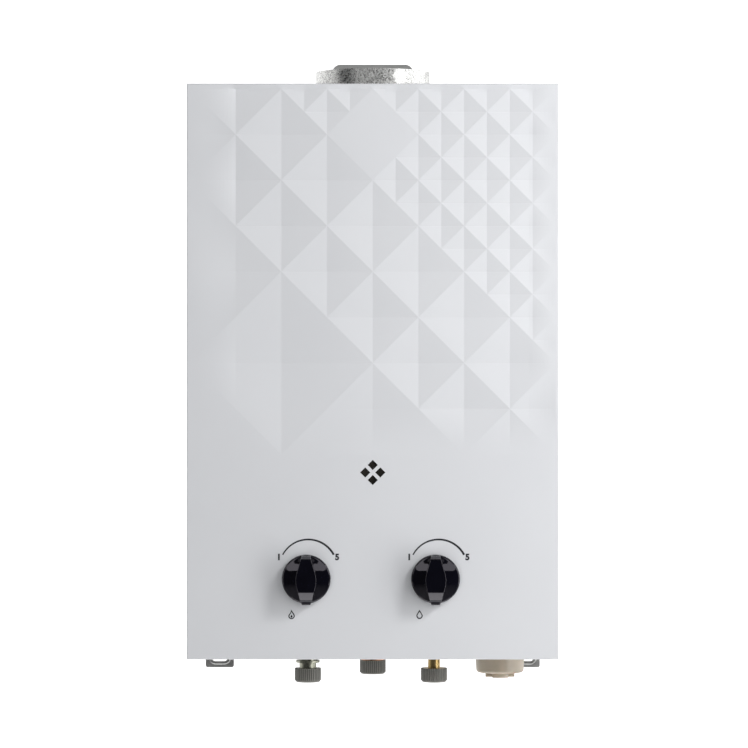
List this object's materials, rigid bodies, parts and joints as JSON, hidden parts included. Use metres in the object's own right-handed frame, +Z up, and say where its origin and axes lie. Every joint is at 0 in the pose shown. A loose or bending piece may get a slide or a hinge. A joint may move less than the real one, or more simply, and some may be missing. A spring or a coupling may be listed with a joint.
{
  "type": "wall-hung tankless gas water heater",
  "caption": "White wall-hung instantaneous gas water heater: diamond-relief steel cover, black control knobs, flue collar on top, capped pipe connections and battery cap below.",
  "frame": {"origin": "on the wall plane, at the middle of the casing's width and height", "axes": "+Z up, +X to the right for someone facing the heater, -Y out of the wall towards that person"},
  "size_m": [0.35, 0.1882, 0.602],
  "materials": {
    "white_enamel": "semi-gloss white enamel",
    "galvanised": "galvanised sheet",
    "steel": "plain bright steel",
    "copper": "soft copper",
    "brass": "turned brass",
    "diecast": "die-cast alloy",
    "knob_black": "polished black",
    "black_plastic": "dull black",
    "cap_grey": "moulded grey",
    "cream": "moulded cream",
    "rubber": "dull black rubber",
    "ceramic": "glazed white",
    "mica": "brown-grey mica",
    "lead_insulation": "red silicone",
    "cell_can": "wrapped can"
  },
  "bodies": {
    "casing": {"front_cover": "white_enamel", "back_plate": "galvanised", "top_panel": "galvanised", "base_panel": "galvanised", "flue_hood": "galvanised", "flue_collar": "galvanised", "exchanger_brackets": "galvanised", "valve_brackets": "galvanised", "window_clip": "galvanised", "burner_frame": "galvanised", "gas_manifold": "galvanised", "cover_screws": "steel", "collar_rivets": "steel", "valve_screws": "steel", "valve_spring": "steel", "gas_riser": "steel", "burner_bars": "steel", "gas_inlet_fitting": "steel", "combustion_chamber": "copper", "fin_pack": "copper", "water_tubes": "copper", "return_bends": "copper", "shell_coil": "copper", "cold_pipe": "copper", "hot_pipe": "copper", "hot_outlet_fitting": "copper", "injectors": "brass", "spindle_bushes": "brass", "water_valve_body": "brass", "diaphragm_cover": "brass", "cold_inlet_fitting": "brass", "battery_contact": "brass", "gas_valve_body": "diecast", "gas_end_cover": "diecast", "microswitch": "black_plastic", "ignition_module": "black_plastic", "spill_thermostat": "black_plastic", "battery_tube": "cream", "diaphragm": "rubber", "pipe_seals": "rubber", "spark_electrode": "ceramic", "flame_sensor": "ceramic", "window_pane": "mica", "igniter_leads": "lead_insulation", "battery_cells": "cell_can"},
    "flame_dial": {"flame_knob": "knob_black", "flame_spindle": "brass", "flame_plug": "brass"},
    "water_dial": {"water_knob": "knob_black", "water_spindle": "brass", "water_plug": "brass"},
    "valve_rod": {"push_rod": "steel", "gas_valve_disc": "rubber"},
    "lever": {"switch_lever": "steel"},
    "battery_lid": {"battery_cap": "cream", "battery_spring": "steel"},
    "gas_plug": {"gas_cap": "cap_grey"},
    "hot_plug": {"hot_cap": "cap_grey"},
    "cold_plug": {"cold_cap": "cap_grey"}
  },
  "joints": [
    {"name": "flame_turn", "type": "hinge", "parent": "casing", "child": "flame_dial", "pos_m": [-0.0625, -0.165, -0.195], "axis": [0, -1, 0], "range_deg": [-60, 60]},
    {"name": "water_turn", "type": "hinge", "parent": "casing", "child": "water_dial", "pos_m": [0.059, -0.165, -0.195], "axis": [0, -1, 0], "range_deg": [-60, 60]},
    {"name": "rod_slide", "type": "slide", "parent": "casing", "child": "valve_rod", "axis": [-1, 0, 0], "range_m": [0, 0.004], "stiffness_N_per_m": 500, "springref_m": -0.01, "deforming": ["valve_spring"]},
    {"name": "switch_swing", "type": "hinge", "parent": "casing", "child": "lever", "pos_m": [-0.012, -0.085, -0.157], "axis": [0, 1, 0], "range_deg": [0, 25.5]},
    {"name": "battery_twist", "type": "hinge", "parent": "casing", "child": "battery_lid", "pos_m": [0.1225, -0.085, -0.28], "axis": [0, 0, 1], "range_deg": [0, 50]},
    {"name": "gas_cap_off", "type": "slide", "parent": "casing", "child": "gas_plug", "axis": [0, 0, -1], "range_m": [0, 0.05]},
    {"name": "hot_cap_off", "type": "slide", "parent": "casing", "child": "hot_plug", "axis": [0, 0, -1], "range_m": [0, 0.05]},
    {"name": "cold_cap_off", "type": "slide", "parent": "casing", "child": "cold_plug", "axis": [0, 0, -1], "range_m": [0, 0.05]}
  ],
  "couplings": [
    {"joint": "switch_swing", "follows": "rod_slide", "rad_per_m": 109.08}
  ]
}
